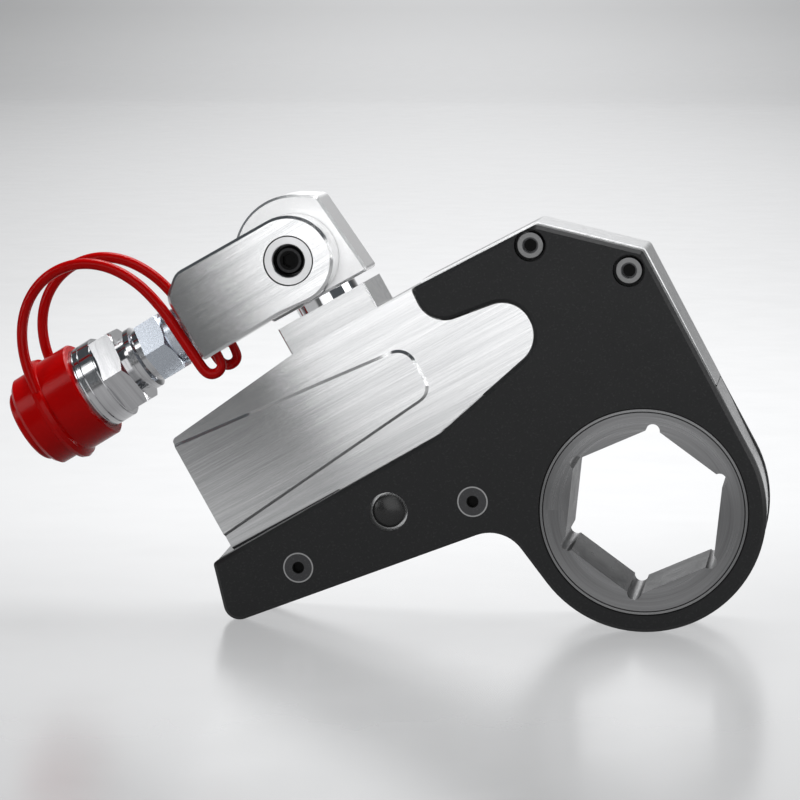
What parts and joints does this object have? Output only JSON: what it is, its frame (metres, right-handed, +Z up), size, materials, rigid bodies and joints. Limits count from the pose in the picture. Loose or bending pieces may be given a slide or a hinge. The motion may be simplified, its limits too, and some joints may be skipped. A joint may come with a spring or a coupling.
{
  "type": "hydraulic torque wrench",
  "caption": "Hydraulic torque wrench with a hexagon ratchet drive in a slim link, a piston drive unit on top and a swivelling hose arm with a capped coupler",
  "frame": {"origin": "centre of the hexagon drive, halfway through the tool", "axes": "+X to the nose of the tool, +Y along the drive axis away from the button's side, +Z up, with the tool standing on its foot and its nose"},
  "size_m": [0.2415, 0.042, 0.1336],
  "materials": {
    "black_steel": "satin black oxide with a fine grain",
    "brushed_steel": "fine brushed steel",
    "ratchet_steel": "hardened steel, ground faces",
    "machined_steel": "machined steel",
    "bronze": "oiled bearing bronze",
    "spring_steel": "drawn spring wire",
    "bright_chrome": "polished plating",
    "seal_rubber": "matt nitrile rubber",
    "red_plastic": "glossy moulded vinyl"
  },
  "bodies": {
    "tool": {"side_plate_front": "black_steel", "side_plate_rear": "black_steel", "journal_bush_front": "machined_steel", "journal_bush_rear": "machined_steel", "countersunk_screws": "black_steel", "cap_screws": "black_steel", "link_frame": "brushed_steel", "head_shroud": "brushed_steel", "holding_pawl_pin": "machined_steel", "holding_pawl_spring": "spring_steel", "cylinder_body": "brushed_steel", "end_plug": "machined_steel", "end_plug_seal": "seal_rubber", "rod_gland": "bronze", "gland_seal": "seal_rubber", "return_spring": "spring_steel", "button_spring": "spring_steel", "base_block": "brushed_steel", "swivel_post": "bright_chrome", "post_collar": "bright_chrome", "post_seal": "seal_rubber"},
    "piston": {"piston": "machined_steel", "piston_seal": "seal_rubber", "piston_rod": "machined_steel"},
    "lever": {"drive_lever_front": "machined_steel", "drive_lever_rear": "machined_steel", "lever_bridge": "machined_steel", "bridge_dowels": "machined_steel", "drive_pin": "machined_steel", "drive_pawl_springs": "spring_steel"},
    "drive_pawl": {"drive_pawl": "ratchet_steel"},
    "wheel": {"ratchet_wheel": "ratchet_steel"},
    "holding_pawl": {"holding_pawl": "ratchet_steel"},
    "button": {"release_button": "black_steel"},
    "swivel": {"swivel_block": "brushed_steel"},
    "arm": {"yoke_arm": "brushed_steel", "hinge_pin": "machined_steel", "hinge_screw": "machined_steel", "hinge_nut": "machined_steel", "port_adapter": "bright_chrome", "coupler_body": "bright_chrome", "coupler_valve": "bright_chrome", "sleeve_spring": "spring_steel", "tether_front": "red_plastic", "tether_rear": "red_plastic"},
    "sleeve": {"coupler_sleeve": "bright_chrome"},
    "cap": {"dust_cap": "red_plastic"}
  },
  "joints": [
    {"name": "piston_stroke", "type": "slide", "parent": "tool", "child": "piston", "axis": [0.8715, 0, 0.4904], "range_m": [0, 0.024], "stiffness_N_per_m": 1500, "springref_m": -0.004, "deforming": ["return_spring"]},
    {"name": "lever_swing", "type": "hinge", "parent": "tool", "child": "lever", "pos_m": [0, 0, 0], "axis": [0, 1, 0], "range_deg": [0, 19]},
    {"name": "wheel_turn", "type": "hinge", "parent": "tool", "child": "wheel", "pos_m": [0, 0, 0], "axis": [0, 1, 0], "range_deg": [0, 19]},
    {"name": "holding_pawl_lift", "type": "hinge", "parent": "tool", "child": "holding_pawl", "pos_m": [-0.04396, 0, 0.00165], "axis": [0, -1, 0], "range_deg": [0, 12], "deforming": ["holding_pawl_spring"]},
    {"name": "drive_pawl_lift", "type": "slide", "parent": "lever", "child": "drive_pawl", "axis": [-0.627, 0, 0.779], "range_m": [0, 0.0024], "stiffness_N_per_m": 300, "springref_m": -0.002, "deforming": ["drive_pawl_springs"]},
    {"name": "button_press", "type": "slide", "parent": "tool", "child": "button", "axis": [0, 1, 0], "range_m": [0, 0.0025], "stiffness_N_per_m": 500, "springref_m": -0.002, "deforming": ["button_spring"]},
    {"name": "swivel_turn", "type": "hinge", "parent": "tool", "child": "swivel", "pos_m": [-0.10183, 0, 0.06433], "axis": [-0.4904, 0, 0.8715], "continuous": true},
    {"name": "arm_tilt", "type": "hinge", "parent": "swivel", "child": "arm", "pos_m": [-0.10968, 0, 0.07644], "axis": [0, 1, 0], "range_deg": [-4, 165]},
    {"name": "sleeve_pull", "type": "slide", "parent": "arm", "child": "sleeve", "axis": [-0.8511, 0, -0.525], "range_m": [0, 0.003], "stiffness_N_per_m": 700, "springref_m": -0.003, "deforming": ["sleeve_spring"]},
    {"name": "cap_pull", "type": "slide", "parent": "arm", "child": "cap", "axis": [-0.8511, 0, -0.525], "range_m": [0, 0.018]}
  ],
  "couplings": [
    {"joint": "lever_swing", "follows": "piston_stroke", "rad_per_m": 13.761},
    {"joint": "wheel_turn", "follows": "piston_stroke", "rad_per_m": 13.761},
    {"joint": "holding_pawl_lift", "follows": "piston_stroke", "rad_per_m": 8.363}
  ]
}
